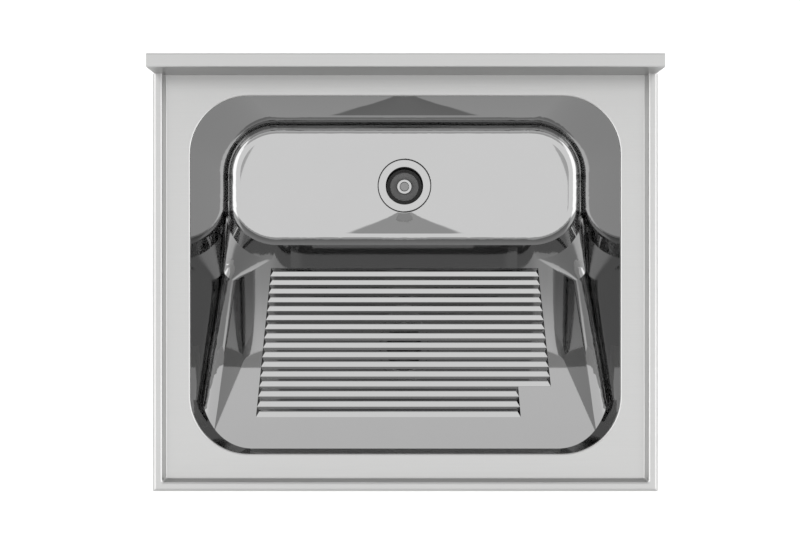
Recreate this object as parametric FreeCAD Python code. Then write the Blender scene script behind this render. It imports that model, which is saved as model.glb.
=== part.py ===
import FreeCAD, Part
import math
import os

# Stainless steel laundry sink. Millimetres, +Z up, +Y towards the wall.
# The origin is on the wall face, at the middle of the sink and at the height of the deck.

# Overall size and sheet
sink_width = 560.0
sink_depth = 478.0
sheet = 0.8
apron_drop = 29.0
return_flange = 15.0
outer_corner_radius = 2.5

# Raised bead along the left, front and right edges
bead_width = 13.4
bead_rise = 9.0
bead_outer_radius = 4.2
bead_inner_run = 3.0
bead_inner_radius = 3.5
bead_foot_radius = 1.5
tray_corner_radius = 2.0

# Upstand at the wall
splash_thickness = 15.0
splash_rise = 44.0
splash_edge_radius = 2.0
splash_end_inset = 2.4

# Mouth of the bowl
mouth_side_margin = 40.0
mouth_rear_margin = 38.1
mouth_front_margin = 40.6
mouth_corner_radius = 65.0
lip_radius = 2.2
collar_drop = 3.0

# Bowl and washboard slope
bowl_depth = 214.0
floor_length = 154.9
floor_fall = 7.0
fall_foot_margin = 0.3
side_lean = 0.024
rear_lean = 0.012
foot_radius = 15.0
slope_foot_radius = 26.0
slope_rise_per_run = 0.75
slope_corner_at_floor = 65.0
slope_corner_at_deck = 17.0
slope_corner_height = 40.0
slope_corner_margin = 2.0

# Washboard ribs: level treads and steep risers pressed into the slope
rib_count = 16
rib_pitch = 10.91
rib_tread = 6.5
rib_start = 37.59
rib_half_span = 175.0
rib_crest_radius = 1.6
rib_valley_radius = 0.8
short_rib_count = 3
short_rib_reach = 135.7

# Channels under the deck
stiffener_drop = 14.0
stiffener_gauge = 1.0
stiffener_clearance = 2.5

# Damping pads outside the bowl
pad_thickness = 2.5
pad_top = 60.0
pad_height = 110.0
pad_margin = 12.0

# Fixing holes in the return flange and the foam strip under it
hole_diameter = 6.5
hole_inset = 8.0
hole_rear_offset = 60.0
hole_front_offset = 58.0
strip_thickness = 3.0
strip_width = 12.0
strip_inset = 1.5
strip_hole_clearance = 1.0

# Waste, clamped through the bowl's floor
drain_setback = 81.4
flange_diameter = 70.0
flange_thickness = 1.2
flange_edge_radius = 0.5
flange_gap = 1.0
recess_edge_radius = 0.6
upper_gasket_thickness = 1.0
cup_bore = 50.0
cup_wall = 2.0
cup_depth = 30.0
cup_mouth_radius = 0.8
cup_corner_radius = 2.0
cup_base = 8.0
outlet_bore = 38.0
outlet_thread = 47.8
outlet_length = 24.0
thread_pitch = 2.3
thread_depth = 0.8
thread_clearance = 0.15
cross_bar = 3.0
cross_drop = 6.0
cross_hub = 9.0
hole_clearance = 0.4
lower_gasket_thickness = 2.0
slip_ring_thickness = 0.8
clamp_ring_width = 7.0
lock_nut_height = 12.0
lock_nut_wall = 6.0
lock_nut_lugs = 8
lug_width = 6.0
lug_height = 3.0

# Tailpiece under the waste
tail_diameter = 40.0
tail_wall = 1.5
tail_length = 58.0
tail_flange_thickness = 2.0
tail_collar_wall = 0.6
tail_collar_reach = 1.0
tail_washer_thickness = 2.0
tail_nut_overlap = 14.0
tail_nut_wall = 4.5
tail_nut_lip = 3.0
tail_nut_ribs = 12
grip_rib_width = 4.0
grip_rib_height = 1.5

# Plug, seated in the cup of the waste
plug_clearance = 0.4
plug_rubber_height = 7.0
plug_rubber_chamfer = 2.5
plug_rubber_edge_radius = 1.0
plug_groove_diameter = 43.5
plug_groove_width = 0.8
plug_groove_depth = 0.5
plug_cap_diameter = 39.0
plug_cap_thickness = 1.0
plug_cap_edge_radius = 0.4
knob_diameter = 20.2
knob_neck_diameter = 12.0
knob_height = 6.5
knob_head_height = 3.5
knob_edge_radius = 0.8
knob_dish_diameter = 12.6
knob_dish_depth = 1.8
knob_dish_rounding = 1.0
plug_screw_diameter = 5.0
plug_screw_reach = 3.5
plug_screw_head_diameter = 9.0
plug_screw_head_height = 2.0
plug_screw_clearance = 0.1
backplate_diameter = 22.0
backplate_thickness = 1.0

# Places worked out from the sizes above
half_width = sink_width / 2
splash_half = half_width - splash_end_inset
mouth_half = half_width - mouth_side_margin
mouth_rear = -mouth_rear_margin
mouth_front = -(sink_depth - mouth_front_margin)
straight_half = mouth_half - mouth_corner_radius
straight_rear = mouth_rear - mouth_corner_radius
straight_front = mouth_front + mouth_corner_radius
slope_foot = mouth_rear - floor_length
slope_corner_start = foot_radius + slope_corner_margin
slope_length = math.hypot(1.0, slope_rise_per_run)
drain_y = mouth_rear - drain_setback
waste_z = -bowl_depth - floor_fall
seat_z = -apron_drop
recess_depth = flange_thickness + upper_gasket_thickness
recess_radius = flange_diameter / 2 + flange_gap
fall_foot_radius = recess_radius + sheet + fall_foot_margin
cup_radius = cup_bore / 2
cup_outer = cup_radius + cup_wall
clamp_inner = cup_outer + hole_clearance
clamp_outer = clamp_inner + clamp_ring_width
outlet_end = -(cup_depth + cup_base + outlet_length)
plug_seat = -cup_depth
cap_bottom = plug_seat + plug_rubber_height
knob_bottom = cap_bottom + plug_cap_thickness
screw_hole = plug_screw_diameter / 2 + plug_screw_clearance
overlap = 1.0
near = 0.01
far = 10000.0

X = FreeCAD.Vector(1, 0, 0)
Y = FreeCAD.Vector(0, 1, 0)
Z = FreeCAD.Vector(0, 0, 1)
slope_normal = (Y * slope_rise_per_run + Z).normalize()
slope_upward = (Z * slope_rise_per_run - Y).normalize()
slope_start = Y * slope_foot - Z * bowl_depth


def rounded_outline(corners):
    """Closed wire through (point, radius) corners, each rounded by its own radius."""
    count = len(corners)
    spans = []
    for index, (point, radius) in enumerate(corners):
        if radius <= 0:
            spans.append((point, None, point))
            continue
        before = (corners[index - 1][0] - point).normalize()
        after = (corners[(index + 1) % count][0] - point).normalize()
        half_angle = before.getAngle(after) / 2
        reach = radius / math.tan(half_angle)
        centre = point + (before + after).normalize() * (radius / math.sin(half_angle))
        middle = centre + (point - centre).normalize() * radius
        spans.append((point + before * reach, middle, point + after * reach))
    edges = []
    for index, (start, middle, end) in enumerate(spans):
        if middle is not None:
            edges.append(Part.Arc(start, middle, end).toShape())
        next_start = spans[(index + 1) % count][0]
        if (next_start - end).Length > near:
            edges.append(Part.LineSegment(end, next_start).toShape())
    return Part.Wire(edges)


def rounded_rectangle(half, rear, front, z, rear_radius, front_radius):
    """Outline about the sink's middle plane, with one radius at its rear and one at its front corners."""
    corners = [
        (FreeCAD.Vector(-half, rear, z), rear_radius),
        (FreeCAD.Vector(half, rear, z), rear_radius),
        (FreeCAD.Vector(half, front, z), front_radius),
        (FreeCAD.Vector(-half, front, z), front_radius),
    ]
    return rounded_outline(corners)


def block(x0, x1, y0, y1, z0, z1):
    """Box between two corners."""
    return Part.makeBox(x1 - x0, y1 - y0, z1 - z0, FreeCAD.Vector(x0, y0, z0))


def upright(outline, height):
    """Solid that stands on a level outline."""
    return Part.Face(outline).extrude(Z * height)


def side_profile(corners, x0, x1):
    """Solid with a section of (y, z, radius) corners that runs from x0 to x1."""
    outline = [(FreeCAD.Vector(x0, y, z), radius) for y, z, radius in corners]
    return Part.Face(rounded_outline(outline)).extrude(X * (x1 - x0))


def front_profile(corners, y0, y1):
    """Solid with a section of (x, z, radius) corners that runs from y0 to y1."""
    outline = [(FreeCAD.Vector(x, y0, z), radius) for x, z, radius in corners]
    return Part.Face(rounded_outline(outline)).extrude(Y * (y1 - y0))


def turned(corners):
    """Solid turned about the waste's axis from (radius, height over the waste's rim, rounding) corners."""
    outline = [(FreeCAD.Vector(r, drain_y, h + waste_z), rounding) for r, h, rounding in corners]
    return Part.Face(rounded_outline(outline)).revolve(Y * drain_y, Z, 360)


def ring(outer, inner, top, bottom):
    """Plain ring about the waste's axis, with heights over the waste's rim."""
    return turned([(inner, bottom, 0), (outer, bottom, 0), (outer, top, 0), (inner, top, 0)])


def around_drain(shape, count):
    """Copies of a shape spaced evenly about the waste's axis."""
    copies = []
    for index in range(count):
        copy = shape.copy()
        copy.rotate(Y * drain_y, Z, 360.0 * index / count)
        copies.append(copy)
    return copies


def edges_between(shape, low, high):
    """Edges of a shape that lie wholly between two corners."""
    space = FreeCAD.BoundBox(low, high)
    return [edge for edge in shape.Edges if space.isInside(edge.BoundBox)]


def level_edges(shape, z, half=far, rear=far, front=-far):
    """Edges of a shape at one height, inside a half width and between a rear and a front line."""
    low = FreeCAD.Vector(-half, front, z - near)
    high = FreeCAD.Vector(half, rear, z + near)
    return edges_between(shape, low, high)


def deck_form(inset):
    """Outer form of the top panel without its tray, drawn in by inset on every face."""
    half = half_width - inset
    front = inset - sink_depth
    rear = -sheet - inset
    top = bead_rise - inset
    bottom = seat_z + inset
    rounding = bead_outer_radius - inset
    plan = rounded_rectangle(half, rear, front, bottom, 0, outer_corner_radius - inset)
    across = [(-half, bottom, 0), (-half, top, rounding), (half, top, rounding), (half, bottom, 0)]
    along = [(front, bottom, 0), (front, top, rounding), (rear, top, 0), (rear, bottom, 0)]
    body = upright(plan, top - bottom).common(front_profile(across, front, rear))
    return body.common(side_profile(along, -half, half))


def tray(grow):
    """Space over the deck inside the bead, grown for the underside of the sheet."""
    lean = math.atan2(bead_inner_run, bead_rise)

    def outline(z):
        shift = z * math.tan(lean) + grow / math.cos(lean)
        half = half_width - bead_width + shift
        front = bead_width - sink_depth - shift
        return rounded_rectangle(half, sheet, front, z, 0, tray_corner_radius + grow)

    body = Part.makeLoft([outline(-grow), outline(bead_rise + overlap)], True, True)
    return body.makeFillet(bead_foot_radius + grow, level_edges(body, -grow))


def splash_seat(grow):
    """Space over the deck where the upstand stands, grown for the underside of the sheet."""
    wide = half_width + overlap
    return block(-wide, wide, -splash_thickness - grow, overlap, -grow, bead_rise + overlap)


def mouth_shaft(grow, bottom, top):
    """Upright shaft with the outline of the bowl's mouth."""
    rounding = mouth_corner_radius + grow
    half = mouth_half + grow
    outline = rounded_rectangle(half, mouth_rear + grow, mouth_front - grow, bottom, rounding, rounding)
    return upright(outline, top - bottom)


def panel_layer(inset):
    """Deck with its bead and tray as one solid, drawn in by inset."""
    body = deck_form(inset).cut(tray(inset))
    reach = bead_width - bead_inner_run - overlap
    crest_edges = level_edges(body, bead_rise - inset, half_width - reach, far, reach - sink_depth)
    crest_edges = [edge for edge in crest_edges if edge.BoundBox.YMin < -splash_thickness]
    body = body.makeFillet(bead_inner_radius - inset, crest_edges)
    return body.cut(splash_seat(inset))


def lip_edges(body, grow):
    """Edges where the deck meets the mouth of the bowl."""
    reach = grow + overlap
    return level_edges(body, -grow, mouth_half + reach, mouth_rear + reach, mouth_front - reach)


def fixing_pins(diameter, bottom, top):
    """Pins through the return flange at the four fixing points."""
    pins = []
    for x in (hole_inset - half_width, half_width - hole_inset):
        for y in (-hole_rear_offset, hole_front_offset - sink_depth):
            pins.append(Part.makeCylinder(diameter / 2, top - bottom, FreeCAD.Vector(x, y, bottom), Z))
    return Part.makeCompound(pins)


def deck_panel():
    """Pressed deck with bead, apron, return flange and the lip that turns down into the mouth."""
    outside = panel_layer(0.0).cut(mouth_shaft(0.0, seat_z - overlap, overlap))
    outside = outside.makeFillet(lip_radius, lip_edges(outside, 0.0))
    inside = panel_layer(sheet).cut(mouth_shaft(sheet, -collar_drop, overlap))
    inside = inside.makeFillet(lip_radius - sheet, lip_edges(inside, sheet))
    half = half_width - return_flange
    low = seat_z - overlap
    high = seat_z + sheet + overlap
    opening = block(-half, half, return_flange - sink_depth, -sheet - return_flange, low, high)
    panel = outside.cut(inside).cut(opening)
    return panel.cut(fixing_pins(hole_diameter, low, high))


def backsplash():
    """Hollow upstand, with its back leg running down to the foot of the apron."""
    front = -splash_thickness
    inner_top = splash_rise - sheet
    inner_radius = splash_edge_radius - sheet
    corners = [
        (front, 0.0, 0),
        (front, splash_rise, splash_edge_radius),
        (0.0, splash_rise, splash_edge_radius),
        (0.0, seat_z, 0),
        (-sheet, seat_z, 0),
        (-sheet, inner_top, inner_radius),
        (front + sheet, inner_top, inner_radius),
        (front + sheet, 0.0, 0),
    ]
    return side_profile(corners, sheet - splash_half, splash_half - sheet)


def backsplash_end(x):
    """Plate that closes one end of the upstand, from x to the right."""
    corners = [
        (-splash_thickness, 0.0, 0),
        (-splash_thickness, splash_rise, splash_edge_radius),
        (0.0, splash_rise, splash_edge_radius),
        (0.0, 0.0, 0),
    ]
    return side_profile(corners, x, x + sheet)


def slope_y(z, grow):
    """Where the washboard slope, pushed out by grow, stands at one height."""
    return slope_foot - (z + bowl_depth + grow * slope_length) / slope_rise_per_run


def slope_z(y):
    """Height of the washboard slope at one distance from the wall."""
    return (slope_foot - y) * slope_rise_per_run - bowl_depth


def rounded_foot(body, floor, grow):
    """Space inside the bowl with its foot rounded, more widely where the slope meets the floor."""
    front = slope_y(floor, grow) + near
    foot_edges = level_edges(body, floor)
    radii = []
    for index, edge in enumerate(body.Edges):
        if any(edge.isSame(foot_edge) for foot_edge in foot_edges):
            ends = [edge.valueAt(edge.FirstParameter), edge.valueAt(edge.LastParameter)]
            start, end = [(slope_foot_radius if point.y < front else foot_radius) + grow for point in ends]
            radii.append((index + 1, start, end))
    document = FreeCAD.newDocument()
    base = document.addObject("Part::Feature", "base")
    base.Shape = body
    rounded = document.addObject("Part::Fillet", "rounded")
    rounded.Base = base
    rounded.Edges = radii
    document.recompute()
    return rounded.Shape


def fall_to_waste(body, floor):
    """Shallow funnel under the floor, from the foot of the walls down to a level ring at the waste."""
    flat = [face for face in body.Faces if face.BoundBox.ZMax < floor + near][0]
    centre = FreeCAD.Vector(0, drain_y, floor - floor_fall)

    def ring_point(angle):
        return centre + FreeCAD.Vector(math.cos(angle), math.sin(angle), 0) * fall_foot_radius

    sides = []
    ring_edges = []
    for edge in flat.OuterWire.OrderedEdges:
        ends = [edge.valueAt(edge.FirstParameter) - centre, edge.valueAt(edge.LastParameter) - centre]
        start, end = [math.atan2(arm.y, arm.x) for arm in ends]
        turn = math.remainder(end - start, 2 * math.pi)
        points = [ring_point(start), ring_point(start + turn / 2), ring_point(start + turn)]
        ring_edges.append(Part.Arc(*points).toShape())
        sides.append(Part.makeRuledSurface(edge, ring_edges[-1]))
    bottom = Part.Face(Part.Wire(Part.sortEdges(ring_edges)[0]))
    skin = Part.makeCompound([flat.copy(), bottom] + sides)
    skin.sewShape()
    return Part.makeSolid(skin.Shells[0])


def corner_room(side, grow, shaft):
    """Space that tightens the corner between the slope and one side wall, from just over its foot."""
    reach = slope_corner_at_floor + mouth_corner_radius / 2

    def outline(z, corner):
        wall = side * (mouth_half + grow + side_lean * z)
        front = slope_y(z, grow)
        inner = wall - side * reach
        rear = front + reach
        corners = [
            (FreeCAD.Vector(wall, front, z), corner + grow),
            (FreeCAD.Vector(inner, front, z), 0),
            (FreeCAD.Vector(inner, rear, z), 0),
            (FreeCAD.Vector(wall, rear, z), 0),
        ]
        return rounded_outline(corners)

    foot = outline(slope_corner_start - bowl_depth, slope_corner_at_floor)
    waist = outline(slope_corner_height - bowl_depth, slope_corner_at_deck)
    top = outline(0.0, slope_corner_at_deck)
    return Part.makeLoft([foot, waist, top], True, True).common(shaft)


def tub(grow):
    """Space inside the bowl, grown by one sheet for its outer skin."""
    floor = -bowl_depth - grow
    half = mouth_half + grow
    rear = mouth_rear + grow
    rounding = mouth_corner_radius + grow
    foot_half = half + side_lean * floor
    foot_rear = rear + rear_lean * floor
    foot_corner = slope_corner_at_floor + grow
    low = rounded_rectangle(foot_half, foot_rear, slope_y(floor, grow), floor, rounding, foot_corner)
    high = rounded_rectangle(half, rear, slope_y(0.0, grow), 0.0, rounding, slope_corner_at_deck + grow)
    shaft = mouth_shaft(grow, floor, 0.0)
    body = rounded_foot(Part.makeLoft([low, high], True, True).common(shaft), floor, grow)
    rooms = [corner_room(side, grow, shaft) for side in (-1, 1)]
    return body.multiFuse([fall_to_waste(body, floor)] + rooms).removeSplitter()


def rib_teeth():
    """Sawtooth solid of all ribs at full span, rooted half a sheet under the slope."""
    root = slope_length * sheet / 2
    first = slope_foot - rib_start
    last = first - rib_pitch * rib_count
    corners = [(first, slope_z(first) - root, 0), (first, slope_z(first), 0)]
    for index in range(rib_count):
        tread_front = first - rib_pitch * (index + 1)
        valley = rib_valley_radius if index < rib_count - 1 else 0
        corners.append((tread_front + rib_tread, slope_z(tread_front), rib_crest_radius))
        corners.append((tread_front, slope_z(tread_front), valley))
    corners.append((last, slope_z(last) - root, 0))
    return side_profile(corners, -rib_half_span - overlap, rib_half_span + overlap)


def rib_envelope(x0, x1, count):
    """Space of the first ribs between x0 and x1, with ends that lean inwards at 45 degrees."""
    rise = rib_pitch * slope_rise_per_run
    section = [(x0 - overlap, -overlap), (x1 + overlap, -overlap), (x1 - rise, rise), (x0 + rise, rise)]
    points = [slope_start + X * x + slope_normal * height for x, height in section]
    outline = Part.makePolygon(points + points[:1])
    reach = (rib_start + rib_pitch * count) * slope_length
    return Part.Face(outline).extrude(slope_upward * reach)


def ribs():
    """Pressed ribs, of which those nearest the front stop short of the right-hand side."""
    long_ribs = rib_envelope(-rib_half_span, rib_half_span, rib_count - short_rib_count)
    all_ribs = rib_envelope(-rib_half_span, short_rib_reach, rib_count + 1)
    return rib_teeth().common(long_ribs.fuse(all_ribs))


def bowl():
    """Deep-drawn bowl with its washboard and the stamped seat of the waste."""
    shell = tub(sheet).cut(tub(0.0))
    shell = shell.common(block(-far, far, -far, far, -far, -collar_drop))
    pressed = ribs()
    hollow = pressed.copy()
    hollow.translate(slope_normal * -sheet)
    shell = shell.fuse(pressed).cut(hollow)
    seat = ring(recess_radius + sheet, clamp_inner, -sheet / 2, -recess_depth - sheet)
    recess = turned([
        (0.0, -recess_depth, 0),
        (recess_radius, -recess_depth, 0),
        (recess_radius, 0.0, recess_edge_radius),
        (recess_radius + overlap, 0.0, 0),
        (recess_radius + overlap, overlap, 0),
        (0.0, overlap, 0),
    ])
    hole = Part.makeCylinder(clamp_inner, bowl_depth, Y * drain_y + Z * (waste_z - bowl_depth / 2), Z)
    return shell.fuse(seat).cut(recess).cut(hole)


def channel_section(low, high):
    """Corners of a folded channel whose two legs stand up to the underside of the deck."""
    top = -sheet
    bottom = top - stiffener_drop
    web = bottom + stiffener_gauge
    outer = [(low, top, 0), (low, bottom, stiffener_gauge), (high, bottom, stiffener_gauge), (high, top, 0)]
    inner_low = low + stiffener_gauge
    inner_high = high - stiffener_gauge
    inner = [(inner_high, top, 0), (inner_high, web, 0), (inner_low, web, 0), (inner_low, top, 0)]
    return outer + inner


def stiffeners():
    """Four channels, one under each straight run of the deck beside the bowl."""
    beside_mouth = lip_radius + stiffener_clearance
    beside_bead = bead_width + bead_foot_radius + stiffener_clearance
    inner = mouth_half + beside_mouth
    outer = half_width - beside_bead
    front = channel_section(beside_bead - sink_depth, mouth_front - beside_mouth)
    rear = channel_section(mouth_rear + beside_mouth, -2 * sheet - stiffener_clearance)
    return {
        "stiffener_left": front_profile(channel_section(-outer, -inner), straight_front, straight_rear),
        "stiffener_right": front_profile(channel_section(inner, outer), straight_front, straight_rear),
        "stiffener_front": side_profile(front, -straight_half, straight_half),
        "stiffener_rear": side_profile(rear, -straight_half, straight_half),
    }


def sound_pads():
    """Damping pads on the flat outer faces of the bowl's rear and side walls."""
    top = -pad_top
    bottom = top - pad_height
    wall = mouth_half + sheet
    rear_wall = mouth_rear + sheet
    half = straight_half - pad_margin
    side_rear = straight_rear - pad_margin
    side_front = slope_foot
    skin = wall + pad_thickness
    rear_pad = block(-half, half, rear_wall, rear_wall + pad_thickness, bottom, top)
    left_pad = block(-skin, -wall, side_front, side_rear, bottom, top)
    right_pad = block(wall, skin, side_front, side_rear, bottom, top)
    side_angle = math.degrees(math.atan(side_lean))
    rear_pad.rotate(Y * rear_wall, X, -math.degrees(math.atan(rear_lean)))
    left_pad.rotate(X * -wall, Y, -side_angle)
    right_pad.rotate(X * wall, Y, side_angle)
    return {"sound_pad_rear": rear_pad, "sound_pad_left": left_pad, "sound_pad_right": right_pad}


def seat_strip():
    """Foam strip under the return flange, with holes round the fixing points."""
    bottom = seat_z - strip_thickness
    half = half_width - strip_inset
    front = strip_inset - sink_depth
    rear = -sheet - strip_inset
    body = block(-half, half, front, rear, bottom, seat_z)
    inner_half = half - strip_width
    low = bottom - overlap
    high = seat_z + overlap
    body = body.cut(block(-inner_half, inner_half, front + strip_width, rear - strip_width, low, high))
    return body.cut(fixing_pins(hole_diameter + 2 * strip_hole_clearance, low, high))


def thread(radius, top, bottom):
    """Corners down a threaded cylinder, one ridge for each pitch."""
    count = int((top - bottom) / thread_pitch)
    corners = [(radius, top, 0)]
    for index in range(count):
        start = top - thread_pitch * index
        corners.append((radius - thread_depth, start - thread_pitch / 2, 0))
        corners.append((radius, start - thread_pitch, 0))
    corners.append((radius, bottom, 0))
    return corners


def drain_body():
    """Flange, cup, strainer cross and threaded outlet of the waste."""
    base = -cup_depth - cup_base
    bore = outlet_bore / 2
    corners = [
        (cup_radius, 0.0, cup_mouth_radius),
        (flange_diameter / 2, 0.0, flange_edge_radius),
        (flange_diameter / 2, -flange_thickness, 0),
    ]
    corners += thread(cup_outer, -flange_thickness, base)
    corners += thread(outlet_thread / 2, base, outlet_end)
    corners += [(bore, outlet_end, 0), (bore, -cup_depth, 0), (cup_radius, -cup_depth, cup_corner_radius)]
    body = turned(corners)
    cross_top = -cup_depth - cross_drop
    reach = bore + overlap
    half_bar = cross_bar / 2
    low = cross_top - cross_bar + waste_z
    high = cross_top + waste_z
    body = body.fuse(block(-reach, reach, drain_y - half_bar, drain_y + half_bar, low, high))
    body = body.fuse(block(-half_bar, half_bar, drain_y - reach, drain_y + reach, low, high))
    hub = Part.makeCylinder(cross_hub / 2, cross_bar, Y * drain_y + Z * low, Z)
    return body.fuse(hub)


def clamp_rings():
    """Gaskets, slip ring and lock nut that clamp the waste to the bowl's floor."""
    underside = -recess_depth - sheet
    slip_top = underside - lower_gasket_thickness
    nut_top = slip_top - slip_ring_thickness
    nut_bottom = nut_top - lock_nut_height
    nut_inner = cup_outer + thread_clearance
    nut_outer = nut_inner + lock_nut_wall
    nut = ring(nut_outer, nut_inner, nut_top, nut_bottom)
    lug = block(
        nut_outer - overlap, nut_outer + lug_height, drain_y - lug_width / 2, drain_y + lug_width / 2,
        nut_bottom + waste_z, nut_top + waste_z,
    )
    gasket_outer = flange_diameter / 2 - flange_gap
    return {
        "drain_upper_gasket": ring(gasket_outer, clamp_inner, -flange_thickness, -recess_depth),
        "drain_lower_gasket": ring(clamp_outer, clamp_inner, underside, slip_top),
        "drain_slip_ring": ring(clamp_outer, clamp_inner, slip_top, nut_top),
        "drain_lock_nut": nut.multiFuse(around_drain(lug, lock_nut_lugs)),
    }


def tail_pieces():
    """Tailpiece with its washer and the nut that holds it to the outlet."""
    washer_bottom = outlet_end - tail_washer_thickness
    flange_bottom = washer_bottom - tail_flange_thickness
    tail_outer = tail_diameter / 2
    tail_inner = tail_outer - tail_wall
    rim = outlet_thread / 2 - hole_clearance
    tail_end = washer_bottom - tail_length
    nut_bottom = flange_bottom - tail_nut_lip
    collar = tail_outer + tail_collar_wall
    collar_bottom = nut_bottom - tail_collar_reach
    tail = turned([
        (tail_inner, washer_bottom, 0),
        (rim, washer_bottom, 0),
        (rim, flange_bottom, 0),
        (collar, flange_bottom, 0),
        (collar, collar_bottom, 0),
        (tail_outer, collar_bottom, 0),
        (tail_outer, tail_end, 0),
        (tail_inner, tail_end, 0),
    ])
    nut_inner = outlet_thread / 2 + thread_clearance
    nut_outer = nut_inner + tail_nut_wall
    nut_top = outlet_end + tail_nut_overlap
    lip = collar + thread_clearance
    nut = turned([
        (nut_inner, nut_top, 0),
        (nut_outer, nut_top, 0),
        (nut_outer, nut_bottom, tail_nut_lip / 2),
        (lip, nut_bottom, 0),
        (lip, flange_bottom, 0),
        (nut_inner, flange_bottom, 0),
    ])
    rib = block(
        nut_outer - overlap, nut_outer + grip_rib_height, drain_y - grip_rib_width / 2,
        drain_y + grip_rib_width / 2, flange_bottom + waste_z, nut_top + waste_z,
    )
    return {
        "tailpiece": tail,
        "tailpiece_washer": ring(rim, outlet_bore / 2, outlet_end, washer_bottom),
        "tailpiece_nut": nut.multiFuse(around_drain(rib, tail_nut_ribs)),
    }


def plug_rubber():
    """Rubber body of the plug, with a chamfered foot and a fine ring groove on top."""
    outer = cup_radius - plug_clearance
    groove_outer = (plug_groove_diameter + plug_groove_width) / 2
    groove_inner = groove_outer - plug_groove_width
    groove_bottom = cap_bottom - plug_groove_depth
    return turned([
        (screw_hole, plug_seat, 0),
        (outer - plug_rubber_chamfer, plug_seat, 0),
        (outer, plug_seat + plug_rubber_chamfer, 0),
        (outer, cap_bottom, plug_rubber_edge_radius),
        (groove_outer, cap_bottom, 0),
        (groove_outer, groove_bottom, 0),
        (groove_inner, groove_bottom, 0),
        (groove_inner, cap_bottom, 0),
        (screw_hole, cap_bottom, 0),
    ])


def plug_cap():
    """Thin disc on top of the rubber."""
    outer = plug_cap_diameter / 2
    return turned([
        (screw_hole, cap_bottom, 0),
        (outer, cap_bottom, 0),
        (outer, knob_bottom, plug_cap_edge_radius),
        (screw_hole, knob_bottom, 0),
    ])


def plug_knob():
    """Turned knob with a dished top and a blind hole for the screw."""
    head = knob_diameter / 2
    neck = knob_neck_diameter / 2
    dish = knob_dish_diameter / 2
    top = knob_bottom + knob_height
    head_bottom = top - knob_head_height
    dish_bottom = top - knob_dish_depth
    hole_top = knob_bottom + plug_screw_reach
    return turned([
        (screw_hole, knob_bottom, 0),
        (neck, knob_bottom, 0),
        (neck, head_bottom, knob_edge_radius),
        (head, head_bottom, knob_edge_radius),
        (head, top, knob_edge_radius),
        (dish, top, knob_edge_radius / 2),
        (dish, dish_bottom, knob_dish_rounding),
        (0.0, dish_bottom, 0),
        (0.0, hole_top, 0),
        (screw_hole, hole_top, 0),
    ])


def plug_fastening():
    """Plate under the rubber and the screw that holds the plug together."""
    plate_bottom = plug_seat - backplate_thickness
    head_bottom = plate_bottom - plug_screw_head_height
    shank = plug_screw_diameter / 2
    head = plug_screw_head_diameter / 2
    shank_top = knob_bottom + plug_screw_reach
    screw = turned([
        (0.0, head_bottom, 0),
        (head, head_bottom, plug_screw_head_height / 2),
        (head, plate_bottom, 0),
        (shank, plate_bottom, 0),
        (shank, shank_top, 0),
        (0.0, shank_top, 0),
    ])
    return {
        "plug_backplate": ring(backplate_diameter / 2, screw_hole, plug_seat, plate_bottom),
        "plug_screw": screw,
    }


def all_pieces():
    """Every piece of the sink by its name."""
    pieces = {
        "deck_panel": deck_panel(),
        "backsplash": backsplash(),
        "backsplash_end_left": backsplash_end(-splash_half),
        "backsplash_end_right": backsplash_end(splash_half - sheet),
        "bowl": bowl(),
        "seat_strip": seat_strip(),
        "drain_body": drain_body(),
        "plug_rubber": plug_rubber(),
        "plug_cap": plug_cap(),
        "plug_knob": plug_knob(),
    }
    for group in (stiffeners(), sound_pads(), clamp_rings(), tail_pieces(), plug_fastening()):
        pieces.update(group)
    return pieces


os.makedirs("parts", exist_ok=True)
for name, piece in all_pieces().items():
    piece.exportStep("parts/" + name + ".step")
    print(name, "valid" if piece.isValid() else "NOT VALID", len(piece.Solids), round(piece.Volume, 1))
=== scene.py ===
from typing import NamedTuple

import bpy
from bpy.props import FloatProperty, FloatVectorProperty, PointerProperty
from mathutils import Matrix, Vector


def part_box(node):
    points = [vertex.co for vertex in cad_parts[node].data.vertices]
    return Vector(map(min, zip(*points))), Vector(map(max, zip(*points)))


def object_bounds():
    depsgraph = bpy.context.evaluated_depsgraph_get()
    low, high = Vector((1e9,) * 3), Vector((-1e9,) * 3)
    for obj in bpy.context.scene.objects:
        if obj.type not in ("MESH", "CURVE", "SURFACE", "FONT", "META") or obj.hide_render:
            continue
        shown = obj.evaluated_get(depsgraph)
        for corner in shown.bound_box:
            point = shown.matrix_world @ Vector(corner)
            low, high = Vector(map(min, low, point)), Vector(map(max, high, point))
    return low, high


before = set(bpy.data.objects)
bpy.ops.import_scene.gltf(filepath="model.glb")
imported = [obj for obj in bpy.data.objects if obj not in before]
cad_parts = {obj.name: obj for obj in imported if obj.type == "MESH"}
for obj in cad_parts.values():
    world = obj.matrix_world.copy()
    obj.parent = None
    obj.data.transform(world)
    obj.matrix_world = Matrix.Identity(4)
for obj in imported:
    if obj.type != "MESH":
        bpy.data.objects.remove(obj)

bl_info = {
    "name": "Laundry Sink",
    "version": (1, 0, 0),
    "blender": (4, 5, 0),
    "location": "View3D > Sidebar > Laundry Sink",
    "description": "Finishes a steel laundry sink and sets a studio around it",
    "category": "Object",
}

CAD_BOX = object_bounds()
BOWL_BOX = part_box("bowl")
WASTE_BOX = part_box("drain_body")
FLANGE_RADIUS = (WASTE_BOX[1][0] - WASTE_BOX[0][0]) / 2

TOP_SHEETS = ("deck_panel", "backsplash", "backsplash_end_left", "backsplash_end_right")
CHANNELS = ("stiffener_left", "stiffener_right", "stiffener_front", "stiffener_rear")
DAMPING_PADS = ("sound_pad_rear", "sound_pad_left", "sound_pad_right")
WASTE_SEALS = ("drain_upper_gasket", "drain_lower_gasket", "tailpiece_washer")
PLASTIC_FITTINGS = ("drain_slip_ring", "drain_lock_nut", "tailpiece", "tailpiece_nut")
PLUG_METAL = ("plug_backplate", "plug_screw")

METAL = 1.0
NO_METAL = 0.0

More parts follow.
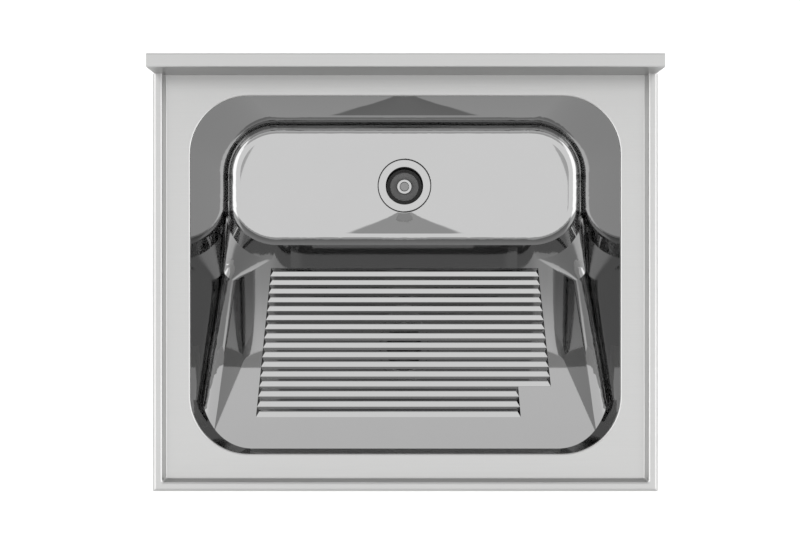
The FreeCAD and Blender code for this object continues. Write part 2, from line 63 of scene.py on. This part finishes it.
# Grains a metre along X, Y and Z
DECK_LINES = (18.0, 2600.0, 2600.0)
DECK_STROKES = (4.0, 520.0, 520.0)
DRAWING_MARKS = (90.0, 90.0, 14.0)
POLISH_CLOUDS = (25.0, 25.0, 25.0)
KNOB_SCUFFS = (700.0, 700.0, 700.0)

# Cells or rings a metre
SPANGLE_SCALE = 140.0
FOAM_SCALE = 900.0
TURNING = {"Scale": 160.0, "Distortion": 0.4, "Detail": 2.0}

# Detail of the noise
FINE_DETAIL = 3.0
FINEST_DETAIL = 4.0

# Depths of the reliefs, in metres
DECK_LINE_DEPTH = 0.000002
DRAWING_DEPTH = 0.0002
SPANGLE_DEPTH = 0.00005
TURNING_DEPTH = 0.000004
SCUFF_DEPTH = 0.000003
FOAM_DEPTH = 0.0004

# Shares of a colour between which a pattern runs
DECK_TONES = (0.97, 1.03)
POLISH_TONES = (0.99, 1.01)
DRAWN_TONES = (0.85, 1.1)
ZINC_TONES = (0.85, 1.1)
TURNED_TONES = (0.97, 1.02)
KNOB_TONES = (0.98, 1.02)
RECESS_TONES = (0.94, 1.06)
FOAM_TONES = (1.3, 0.7)

# Roughness between which a pattern runs
DRAWN_ROUGHNESS = (0.30, 0.42)
ZINC_ROUGHNESS = (0.32, 0.48)
TURNED_ROUGHNESS = (0.05, 0.09)
RECESS_ROUGHNESS = (0.38, 0.46)
FOAM_ROUGHNESS = (0.75, 0.95)

# Shares of a set roughness between which a pattern runs
DECK_ROUGHNESS_SHARES = (0.9, 1.1)
BOWL_ROUGHNESS_SHARES = (0.8, 1.2)
MOULDED_ROUGHNESS_SPREAD = 0.06

# Values that a noise mostly keeps between, and all the values of a share
NOISE_SPAN = (0.3, 0.7)
FULL_SPAN = (0.0, 1.0)

# Ring of painted shade that stands in for the shadowed gap round the flange, and where its edge and the
# knob recess's begin to fade
GAP_SHADE_WIDTH = 0.0012
EDGE_SHARE = 0.9

# Shares of a direction, where parts of the studio's light begin and end
LEAST_HEIGHT = 0.05
PANEL_EDGE = 0.012
LEVEL_ASIDE = (0.4, 0.8)
GAP_RISE = (0.35, 0.9)
WALL_ASIDE = (0.5, 0.6)
WALL_FOOT = (0.32, 0.4)

WHITE = (1.0, 1.0, 1.0, 1.0)
CAMERA_REACH = 100.0
MOST_BOUNCES = 24
MOST_MIRROR_BOUNCES = 16


class Skin(NamedTuple):
    """Grain of a moulded surface: spread of its tones, roughness, grains a metre, depth in metres."""

    spread: float
    roughness: float
    grains: float
    depth: float


BITUMEN_SKIN = Skin(spread=0.35, roughness=0.8, grains=900.0, depth=0.0003)
SEAL_SKIN = Skin(spread=0.2, roughness=0.6, grains=1500.0, depth=0.00005)
FITTING_SKIN = Skin(spread=0.03, roughness=0.42, grains=2500.0, depth=0.00003)
PLUG_SKIN = Skin(spread=0.2, roughness=0.55, grains=1500.0, depth=0.00005)
DISC_SKIN = Skin(spread=0.12, roughness=0.55, grains=1800.0, depth=0.00003)
FLOOR_SKIN = Skin(spread=0.01, roughness=0.8, grains=3.0, depth=0.0)


def middle(box):
    """Centre of a box given by its lowest and highest corners."""
    return (Vector(box[0]) + Vector(box[1])) / 2


def colour_setting(name, description, default):
    """Colour that a user can change."""
    return FloatVectorProperty(
        name=name, description=description, subtype="COLOR", size=3, min=0.0, max=1.0, default=default
    )


def share_setting(name, description, default):
    """Share between none and all that a user can change."""
    return FloatProperty(
        name=name, description=description, subtype="FACTOR", min=0.0, max=1.0, default=default
    )


def length_setting(name, description, default):
    """Length that a user can change."""
    return FloatProperty(name=name, description=description, unit="LENGTH", default=default)


def number_setting(name, description, default):
    """Plain number that a user can change."""
    return FloatProperty(name=name, description=description, default=default)


class SteelFinish(bpy.types.PropertyGroup):
    """Steel of the deck, the bowl, the channels and the waste."""

    deck_colour: colour_setting("Deck", "Reflected colour of the satin deck", (0.46, 0.46, 0.457))
    deck_roughness: share_setting("Deck roughness", "How far the satin grain spreads a highlight", 0.36)
    deck_brushing: share_setting("Deck brushing", "How far the grain draws a highlight across itself", 0.6)
    bowl_colour: colour_setting("Bowl", "Reflected colour of the polished bowl", (0.386, 0.386, 0.386))
    bowl_roughness: share_setting("Bowl roughness", "How far the polish spreads a highlight", 0.03)
    outside_colour: colour_setting("Bowl outside", "Reflected colour of the outside", (0.36, 0.36, 0.355))
    edge_colour: colour_setting("Glancing tint", "Tint of a glancing reflection", (0.70, 0.70, 0.70))
    zinc_colour: colour_setting("Channels", "Reflected colour of the zinc coating", (0.50, 0.51, 0.52))
    # Colour of the dark ring painted round the waste as the shade in the gap between flange and bowl
    gap_shade_colour: colour_setting("Gap shade", "Painted shade in the gap round the waste", (0.03, 0.03, 0.03))
    waste_colour: colour_setting("Waste", "Reflected colour of the polished waste", (0.40, 0.40, 0.40))
    recess_colour: colour_setting("Knob recess", "Reflected colour of the recess", (0.25, 0.25, 0.25))
    recess_radius: length_setting("Recess radius", "Radius of the knob's dull recess", 0.0062)


class SoftFinish(bpy.types.PropertyGroup):
    """Rubber, foam, bitumen and plastic."""

    rubber_colour: colour_setting("Rubber", "Black rubber of the plug and the seals", (0.02, 0.02, 0.02))
    cap_colour: colour_setting("Plug disc", "Grey disc on the plug", (0.16, 0.16, 0.16))
    damping_colour: colour_setting("Damping pads", "Bitumen pads on the bowl", (0.035, 0.034, 0.033))
    foam_colour: colour_setting("Foam", "Foam strip under the flange", (0.05, 0.05, 0.052))
    plastic_colour: colour_setting("Fittings", "Moulded nuts and tailpiece", (0.52, 0.52, 0.51))


class StudioSetup(bpy.types.PropertyGroup):
    """Camera, light and floor."""

    camera_aside: length_setting("Camera aside", "Camera's place across the sink", -0.006)
    camera_forward: length_setting("Camera forward", "Camera's place in front of the wall", -0.2285)
    camera_height: length_setting("Camera height", "Height of the camera over the deck", 1.0596)
    lens: FloatProperty(name="Lens", description="Focal length", unit="CAMERA", default=42.75)
    overhead_light: number_setting("Overhead light", "Brightness of the panel above", 1.5)
    gap_light: number_setting("Gap light", "Brightness before and behind the panel above", 0.68)
    level_light: number_setting("Level light", "Brightness at eye level", 1.14)
    side_level: number_setting("Side level", "Brightness under the side walls", 1.45)
    side_light: number_setting("Side light", "Brightness added left and right", 1.1)
    panel_front: number_setting("Panel front", "Reach to the front for its height", 0.63)
    panel_rear: number_setting("Panel rear", "Reach to the rear for its height", 0.475)
    floor_colour: colour_setting("Floor", "Pale floor", (0.86, 0.86, 0.86))
    floor_size: length_setting("Floor size", "Length of each side of the floor", 30.0)


def add_node(tree, kind, inputs=None, **settings):
    """Node with its settings made and its sockets set or linked."""
    made = tree.nodes.new(kind)
    for setting, value in settings.items():
        setattr(made, setting, value)
    for socket, value in (inputs or {}).items():
        if isinstance(value, bpy.types.NodeSocket):
            tree.links.new(value, made.inputs[socket])
        else:
            made.inputs[socket].default_value = value
    return made


def vector_sum(tree, operation, first, second):
    """Vector from one operation on two vectors or vector sockets."""
    made = add_node(tree, "ShaderNodeVectorMath", {0: first, 1: second}, operation=operation)
    return made.outputs["Vector"]


def number_sum(tree, operation, first, second=0.0):
    """Number from one operation on two numbers or number sockets."""
    return add_node(tree, "ShaderNodeMath", {0: first, 1: second}, operation=operation).outputs["Value"]


def object_place(tree, centre=(0.0, 0.0, 0.0)):
    """Place on the piece, counted from a centre."""
    place = add_node(tree, "ShaderNodeTexCoord").outputs["Object"]
    return vector_sum(tree, "SUBTRACT", place, centre)


def waste_radius(tree):
    """Distance from the waste's axis."""
    flat = vector_sum(tree, "MULTIPLY", object_place(tree, middle(WASTE_BOX)), (1.0, 1.0, 0.0))
    return add_node(tree, "ShaderNodeVectorMath", {0: flat}, operation="LENGTH").outputs["Value"]


def grain(tree, counts, detail=FINE_DETAIL):
    """Noise with so many grains a metre along X, Y and Z."""
    spread = vector_sum(tree, "MULTIPLY", object_place(tree), counts)
    inputs = {"Vector": spread, "Scale": 1.0, "Detail": detail}
    return add_node(tree, "ShaderNodeTexNoise", inputs).outputs["Fac"]


def between(tree, value, limits, span=NOISE_SPAN, easing="LINEAR"):
    """Number that runs from the first limit to the second as the value crosses the span."""
    inputs = {
        "Value": value,
        "From Min": span[0],
        "From Max": span[1],
        "To Min": limits[0],
        "To Max": limits[1],
    }
    return add_node(tree, "ShaderNodeMapRange", inputs, interpolation_type=easing).outputs["Result"]


def faded(tree, value, span, limits=FULL_SPAN):
    """Number that eases from the first limit to the second as the value crosses the span."""
    return between(tree, value, limits, span, "SMOOTHSTEP")


def mixed_number(tree, share, first, second):
    """Number between two numbers or number sockets, which a mix node has at 2 and 3."""
    return add_node(tree, "ShaderNodeMix", {0: share, 2: first, 3: second}).outputs[0]


def mixed_colour(tree, share, first, second):
    """Colour between two colours or colour sockets, which a mix node has at 6 and 7."""
    return add_node(tree, "ShaderNodeMix", {0: share, 6: first, 7: second}, data_type="RGBA").outputs[2]


def shaded(colour, factor=1.0):
    """Colour made darker or lighter, as a shader takes it."""
    return (*(min(1.0, part * factor) for part in colour), 1.0)


def toned(tree, share, colour, tones):
    """Colour that a pattern runs from its first tone to its second."""
    return mixed_colour(tree, share, shaded(colour, tones[0]), shaded(colour, tones[1]))


def scaled(value, shares):
    """Two shares of a value."""
    return value * shares[0], value * shares[1]


def relief(tree, height, depth):
    """Surface normal of a pattern so many metres deep."""
    inputs = {"Height": height, "Distance": depth, "Strength": 1.0}
    return add_node(tree, "ShaderNodeBump", inputs).outputs["Normal"]


def new_finish(name, metallic):
    """Material with its tree and its surface shader."""
    material = bpy.data.materials.new(name)
    material.use_nodes = True
    tree = material.node_tree
    shader = tree.nodes["Principled BSDF"]
    shader.inputs["Metallic"].default_value = metallic
    return material, tree, shader


def new_steel(name, steel):
    """Steel with its tint at a glancing angle."""
    material, tree, shader = new_finish(name, METAL)
    shader.inputs["Specular Tint"].default_value = shaded(steel.edge_colour)
    return material, tree, shader


def cover(tree, shader, colour, roughness, normal):
    """Link the pattern to the surface."""
    tree.links.new(colour, shader.inputs["Base Color"])
    tree.links.new(roughness, shader.inputs["Roughness"])
    tree.links.new(normal, shader.inputs["Normal"])


def brushed_deck_steel(steel):
    """Satin sheet with fine grain lines across the sink."""
    material, tree, shader = new_steel("brushed_deck_steel", steel)
    shader.inputs["Anisotropic"].default_value = steel.deck_brushing
    across = add_node(tree, "ShaderNodeCombineXYZ", {"X": 0.0, "Y": 1.0, "Z": 0.0}).outputs["Vector"]
    tree.links.new(across, shader.inputs["Tangent"])
    lines = grain(tree, DECK_LINES)
    colour = toned(tree, grain(tree, DECK_STROKES), steel.deck_colour, DECK_TONES)
    roughness = between(tree, lines, scaled(steel.deck_roughness, DECK_ROUGHNESS_SHARES))
    cover(tree, shader, colour, roughness, relief(tree, lines, DECK_LINE_DEPTH))
    return material


def polished_bowl_steel(steel):
    """Mirror inside, a dull drawn surface outside, and a dark ring of painted shade in the gap round the
    waste.
    """
    material, tree, shader = new_steel("polished_bowl_steel", steel)
    mouth = middle(BOWL_BOX)
    mouth.z = BOWL_BOX[1][2]
    normal = add_node(tree, "ShaderNodeTexCoord").outputs["Normal"]
    sides = {0: normal, 1: object_place(tree, mouth)}
    facing = add_node(tree, "ShaderNodeVectorMath", sides, operation="DOT_PRODUCT").outputs["Value"]
    outside = number_sum(tree, "GREATER_THAN", facing)
    marks = grain(tree, DRAWING_MARKS, FINEST_DETAIL)
    polish = grain(tree, POLISH_CLOUDS)
    inner_colour = toned(tree, polish, steel.bowl_colour, POLISH_TONES)
    outer_colour = toned(tree, marks, steel.outside_colour, DRAWN_TONES)
    steel_colour = mixed_colour(tree, outside, inner_colour, outer_colour)
    # Painted shade: a dark ring round the flange stands in for the shadowed gap between flange and bowl
    gap_shade_edge = (FLANGE_RADIUS + GAP_SHADE_WIDTH, FLANGE_RADIUS + EDGE_SHARE * GAP_SHADE_WIDTH)
    gap_shade = faded(tree, waste_radius(tree), gap_shade_edge)
    colour = mixed_colour(tree, gap_shade, steel_colour, shaded(steel.gap_shade_colour))
    inner_rough = between(tree, polish, scaled(steel.bowl_roughness, BOWL_ROUGHNESS_SHARES))
    outer_rough = between(tree, marks, DRAWN_ROUGHNESS)
    roughness = mixed_number(tree, outside, inner_rough, outer_rough)
    dents = number_sum(tree, "MULTIPLY", marks, outside)
    cover(tree, shader, colour, roughness, relief(tree, dents, DRAWING_DEPTH))
    return material


def zinc_channel_steel(steel):
    """Zinc-coated sheet with its crystal spangle."""
    material, tree, shader = new_finish("zinc_channel_steel", METAL)
    cells = add_node(tree, "ShaderNodeTexVoronoi", {"Vector": object_place(tree), "Scale": SPANGLE_SCALE})
    spangle = add_node(tree, "ShaderNodeSeparateColor", {0: cells.outputs["Color"]}).outputs[0]
    colour = toned(tree, spangle, steel.zinc_colour, ZINC_TONES)
    roughness = between(tree, spangle, ZINC_ROUGHNESS, FULL_SPAN)
    cover(tree, shader, colour, roughness, relief(tree, spangle, SPANGLE_DEPTH))
    return material


def turned_waste_steel(steel):
    """Polished steel with faint turning rings about the waste."""
    material, tree, shader = new_steel("turned_waste_steel", steel)
    inputs = {"Vector": object_place(tree, middle(WASTE_BOX)), **TURNING}
    wave = add_node(tree, "ShaderNodeTexWave", inputs, wave_type="RINGS", rings_direction="Z")
    rings = wave.outputs["Fac"]
    colour = toned(tree, rings, steel.waste_colour, TURNED_TONES)
    roughness = between(tree, rings, TURNED_ROUGHNESS, FULL_SPAN)
    cover(tree, shader, colour, roughness, relief(tree, rings, TURNING_DEPTH))
    return material


def knob_steel(steel):
    """Polished knob with a dull recess in its top."""
    material, tree, shader = new_steel("knob_steel", steel)
    recess_edge = (steel.recess_radius, steel.recess_radius * EDGE_SHARE)
    recess = faded(tree, waste_radius(tree), recess_edge)
    scuffs = grain(tree, KNOB_SCUFFS)
    bright = toned(tree, scuffs, steel.waste_colour, KNOB_TONES)
    dull = toned(tree, scuffs, steel.recess_colour, RECESS_TONES)
    polish = between(tree, scuffs, TURNED_ROUGHNESS)
    satin = between(tree, scuffs, RECESS_ROUGHNESS)
    colour = mixed_colour(tree, recess, bright, dull)
    roughness = mixed_number(tree, recess, polish, satin)
    cover(tree, shader, colour, roughness, relief(tree, scuffs, SCUFF_DEPTH))
    return material


def moulded(name, colour, skin):
    """Moulded or cast surface with a fine grain of its own."""
    material, tree, shader = new_finish(name, NO_METAL)
    pattern = grain(tree, (skin.grains, skin.grains, skin.grains), FINEST_DETAIL)
    tint = toned(tree, pattern, colour, (1.0 - skin.spread, 1.0 + skin.spread))
    limits = (skin.roughness - MOULDED_ROUGHNESS_SPREAD, skin.roughness + MOULDED_ROUGHNESS_SPREAD)
    cover(tree, shader, tint, between(tree, pattern, limits), relief(tree, pattern, skin.depth))
    return material


def foam_cells(soft):
    """Closed-cell foam with its skin of small bubbles."""
    material, tree, shader = new_finish("closed_cell_foam", NO_METAL)
    bubbles = add_node(tree, "ShaderNodeTexVoronoi", {"Vector": object_place(tree), "Scale": FOAM_SCALE})
    cells = bubbles.outputs["Distance"]
    colour = toned(tree, cells, soft.foam_colour, FOAM_TONES)
    roughness = between(tree, cells, FOAM_ROUGHNESS, FULL_SPAN)
    cover(tree, shader, colour, roughness, relief(tree, cells, FOAM_DEPTH))
    return material


def dress(names, material):
    """Give CAD pieces their finish."""
    for name in names:
        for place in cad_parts[name].material_slots:
            place.material = material


class SINK_OT_top(bpy.types.Operator):
    """Finish the deck and the upstand at the wall"""

    bl_idname = "laundry_sink.top"
    bl_label = "Finish Top"

    def execute(self, context):
        dress(TOP_SHEETS, brushed_deck_steel(context.scene.sink_steel))
        return {"FINISHED"}


class SINK_OT_bowl(bpy.types.Operator):
    """Polish the bowl"""

    bl_idname = "laundry_sink.bowl"
    bl_label = "Finish Bowl"

    def execute(self, context):
        dress(("bowl",), polished_bowl_steel(context.scene.sink_steel))
        return {"FINISHED"}


class SINK_OT_underside(bpy.types.Operator):
    """Finish the channels, the damping pads and the foam strip"""

    bl_idname = "laundry_sink.underside"
    bl_label = "Finish Underside"

    def execute(self, context):
        soft = context.scene.sink_soft
        dress(CHANNELS, zinc_channel_steel(context.scene.sink_steel))
        dress(DAMPING_PADS, moulded("bitumen_pad", soft.damping_colour, BITUMEN_SKIN))
        dress(("seat_strip",), foam_cells(soft))
        return {"FINISHED"}


class SINK_OT_waste(bpy.types.Operator):
    """Finish the waste, its seals and its plastic fittings"""

    bl_idname = "laundry_sink.waste"
    bl_label = "Finish Waste"

    def execute(self, context):
        soft = context.scene.sink_soft
        dress(("drain_body",), turned_waste_steel(context.scene.sink_steel))
        dress(WASTE_SEALS, moulded("seal_rubber", soft.rubber_colour, SEAL_SKIN))
        dress(PLASTIC_FITTINGS, moulded("fitting_plastic", soft.plastic_colour, FITTING_SKIN))
        return {"FINISHED"}


class SINK_OT_plug(bpy.types.Operator):
    """Finish the plug"""

    bl_idname = "laundry_sink.plug"
    bl_label = "Finish Plug"

    def execute(self, context):
        soft = context.scene.sink_soft
        dress(("plug_rubber",), moulded("plug_rubber", soft.rubber_colour, PLUG_SKIN))
        dress(("plug_cap",), moulded("plug_disc", soft.cap_colour, DISC_SKIN))
        dress(("plug_knob",), knob_steel(context.scene.sink_steel))
        dress(PLUG_METAL, turned_waste_steel(context.scene.sink_steel))
        return {"FINISHED"}


def studio_light(studio):
    """Sky with a panel above, bright walls at both sides, and dimmer gaps at the front and the rear."""
    world = bpy.data.worlds.new("studio_light")
    world.use_nodes = True
    tree = world.node_tree
    direction = add_node(tree, "ShaderNodeTexCoord").outputs["Generated"]
    parts = add_node(tree, "ShaderNodeSeparateXYZ", {0: direction}).outputs
    height = number_sum(tree, "MAXIMUM", parts["Z"], LEAST_HEIGHT)
    reach = number_sum(tree, "DIVIDE", parts["Y"], height)
    front_edge = (-studio.panel_front - PANEL_EDGE, -studio.panel_front + PANEL_EDGE)
    rear_edge = (studio.panel_rear + PANEL_EDGE, studio.panel_rear - PANEL_EDGE)
    panel = number_sum(tree, "MULTIPLY", faded(tree, reach, front_edge), faded(tree, reach, rear_edge))
    aside = number_sum(tree, "ABSOLUTE", parts["X"])
    level = faded(tree, aside, LEVEL_ASIDE, (studio.level_light, studio.side_level))
    raised = faded(tree, parts["Z"], GAP_RISE)
    gaps = mixed_number(tree, raised, level, studio.gap_light)
    sky = mixed_number(tree, panel, gaps, studio.overhead_light)
    walls = number_sum(
        tree, "MULTIPLY", faded(tree, aside, WALL_ASIDE), faded(tree, parts["Z"], WALL_FOOT)
    )
    glow = number_sum(tree, "MULTIPLY", walls, studio.side_light)
    background = tree.nodes["Background"]
    tree.links.new(number_sum(tree, "ADD", sky, glow), background.inputs["Strength"])
    background.inputs["Color"].default_value = WHITE
    return world


def pale_floor(studio):
    """Wide floor just under the tailpiece."""
    half = studio.floor_size / 2
    height = CAD_BOX[0][2]
    corners = [(x * half, y * half, height) for x, y in ((-1, -1), (1, -1), (1, 1), (-1, 1))]
    mesh = bpy.data.meshes.new("studio_floor")
    mesh.from_pydata(corners, [], [(0, 1, 2, 3)])
    floor = bpy.data.objects.new("studio_floor", mesh)
    bpy.context.scene.collection.objects.link(floor)
    mesh.materials.append(moulded("floor_paint", studio.floor_colour, FLOOR_SKIN))


class SINK_OT_stage(bpy.types.Operator):
    """Set the camera, the light and the floor"""

    bl_idname = "laundry_sink.stage"
    bl_label = "Set Stage"

    def execute(self, context):
        scene = context.scene
        studio = scene.sink_studio
        lens = bpy.data.cameras.new("overhead_camera")
        lens.lens = studio.lens
        lens.clip_end = CAMERA_REACH
        camera = bpy.data.objects.new("overhead_camera", lens)
        camera.location = (studio.camera_aside, studio.camera_forward, studio.camera_height)
        scene.collection.objects.link(camera)
        scene.camera = camera
        scene.world = studio_light(studio)
        pale_floor(studio)
        scene.view_settings.view_transform = "Standard"
        scene.cycles.max_bounces = MOST_BOUNCES
        scene.cycles.glossy_bounces = MOST_MIRROR_BOUNCES
        return {"FINISHED"}


OPERATORS = (SINK_OT_top, SINK_OT_bowl, SINK_OT_underside, SINK_OT_waste, SINK_OT_plug, SINK_OT_stage)


class SINK_PT_panel(bpy.types.Panel):
    """Sidebar panel of the laundry sink"""

    bl_idname = "SINK_PT_panel"
    bl_label = "Laundry Sink"
    bl_space_type = "VIEW_3D"
    bl_region_type = "UI"
    bl_category = "Laundry Sink"

    def draw(self, context):
        for operator in OPERATORS:
            self.layout.operator(operator.bl_idname)


CLASSES = (SteelFinish, SoftFinish, StudioSetup, *OPERATORS, SINK_PT_panel)


def register():
    """Add the settings, the operators and the panel."""
    for entry in CLASSES:
        bpy.utils.register_class(entry)
    bpy.types.Scene.sink_steel = PointerProperty(type=SteelFinish)
    bpy.types.Scene.sink_soft = PointerProperty(type=SoftFinish)
    bpy.types.Scene.sink_studio = PointerProperty(type=StudioSetup)


def unregister():
    """Take away what register added."""
    del bpy.types.Scene.sink_studio
    del bpy.types.Scene.sink_soft
    del bpy.types.Scene.sink_steel
    for entry in reversed(CLASSES):
        bpy.utils.unregister_class(entry)


def main():
    """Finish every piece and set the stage."""
    register()
    bpy.ops.laundry_sink.top()
    bpy.ops.laundry_sink.bowl()
    bpy.ops.laundry_sink.underside()
    bpy.ops.laundry_sink.waste()
    bpy.ops.laundry_sink.plug()
    bpy.ops.laundry_sink.stage()


if __name__ == "__main__":
    main()
